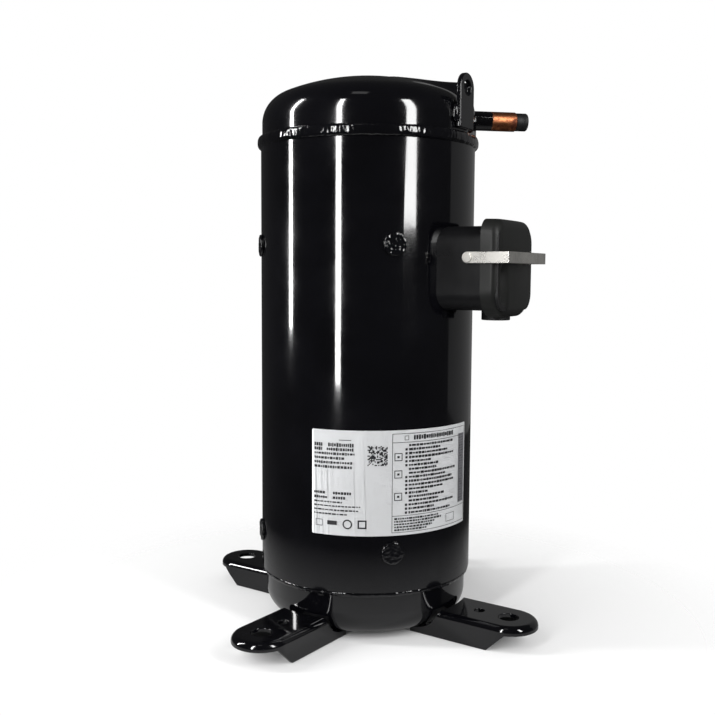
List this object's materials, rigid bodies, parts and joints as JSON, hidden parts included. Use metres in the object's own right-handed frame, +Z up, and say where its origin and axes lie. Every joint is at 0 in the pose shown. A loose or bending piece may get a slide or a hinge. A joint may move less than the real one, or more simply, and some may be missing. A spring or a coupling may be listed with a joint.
{
  "type": "scroll compressor",
  "caption": "Hermetic scroll compressor: welded upright steel shell on splayed feet, side terminal box, discharge and suction stubs, and the motor and scroll set inside.",
  "frame": {"origin": "centre of the square of mounting holes at the underside of the foot plates, on the shell axis", "axes": "+Z up along the shell axis; +X along the discharge tube; the label faces -Y and the suction tube +Y"},
  "size_m": [0.2541, 0.2595, 0.4426],
  "materials": {
    "black_paint": "gloss black enamel",
    "weld": "painted weld bead",
    "copper": "bare copper, dull",
    "black_rubber": "matt",
    "box_steel": "satin black",
    "cover_plastic": "fine matt",
    "zinc_strap": "zinc plated",
    "label_paper": "satin film",
    "steel": "machined",
    "iron": "machined casting",
    "bearing": "bearing bronze",
    "lamination": "laminated steel",
    "winding": "enamelled copper wire",
    "aluminium": "cast",
    "ptfe": "filled polymer",
    "glass_seal": "sealing glass",
    "plastic": "moulded",
    "brass_screw": "plain",
    "magnet": "ferrite"
  },
  "bodies": {
    "casing": {"main_shell": "black_paint", "upper_cap": "black_paint", "lower_cap": "black_paint", "frame_plug_welds": "weld", "bearing_plug_welds": "weld", "upper_seam_weld": "weld", "lower_seam_weld": "weld", "foot_front_right": "black_paint", "foot_back_right": "black_paint", "foot_back_left": "black_paint", "foot_front_left": "black_paint", "foot_welds": "weld", "lifting_lug": "black_paint", "lug_welds": "weld", "discharge_tube": "copper", "suction_fitting": "black_paint", "suction_tube": "copper", "terminal_fence": "box_steel", "terminal_gasket": "black_rubber", "terminal_cover": "cover_plastic", "cable_outlet": "black_rubber", "strap_pins": "zinc_strap", "sealed_terminal": "steel", "glass_beads": "glass_seal", "terminal_pins": "steel", "terminal_block": "plastic", "terminal_screws": "brass_screw", "motor_leads": "plastic", "label": "label_paper", "fixed_scroll": "iron", "fixed_tip_seal": "ptfe", "frame_bolts": "steel", "separator_plate": "steel", "separator_seal": "ptfe", "valve_cage": "steel", "main_frame": "iron", "lower_bearing_frame": "iron", "main_bearing": "bearing", "lower_bearing": "bearing", "thrust_washer": "steel", "stator_core": "lamination", "stator_windings": "winding", "overload_protector": "plastic", "sump_magnet": "magnet"},
    "crank": {"crankshaft": "steel", "rotor_core": "lamination", "rotor_end_rings": "aluminium", "upper_balance_weight": "iron", "lower_balance_weight": "iron", "oil_pickup_tube": "steel", "drive_bush": "steel"},
    "orbiter": {"orbiting_scroll": "iron", "orbiting_tip_seal": "ptfe", "hub_bearing": "bearing", "oldham_ring": "aluminium"},
    "strap": {"cover_strap": "zinc_strap"},
    "valve": {"valve_disc": "steel"},
    "discharge_plug": {"discharge_stopper": "black_rubber"},
    "suction_plug": {"suction_stopper": "black_rubber"}
  },
  "joints": [
    {"name": "crank_spin", "type": "hinge", "parent": "casing", "child": "crank", "pos_m": [0, 0, 0.2], "axis": [0, 0, 1], "continuous": true},
    {"name": "orbit_hold", "type": "hinge", "parent": "crank", "child": "orbiter", "pos_m": [0.0047, 0, 0.302], "axis": [0, 0, 1], "continuous": true},
    {"name": "strap_swing", "type": "hinge", "parent": "casing", "child": "strap", "pos_m": [0.08162, -0.06996, 0.28], "axis": [-0.6508, -0.7593, 0], "range_deg": [-30, 30]},
    {"name": "valve_lift", "type": "slide", "parent": "casing", "child": "valve", "axis": [0, 0, 1], "range_m": [0, 0.0025]},
    {"name": "discharge_stopper_pull", "type": "slide", "parent": "casing", "child": "discharge_plug", "axis": [1, 0, 0], "range_m": [0, 0.04]},
    {"name": "suction_stopper_pull", "type": "slide", "parent": "casing", "child": "suction_plug", "axis": [0, 1, 0], "range_m": [0, 0.05]}
  ],
  "couplings": [
    {"joint": "orbit_hold", "follows": "crank_spin", "ratio": -1}
  ]
}
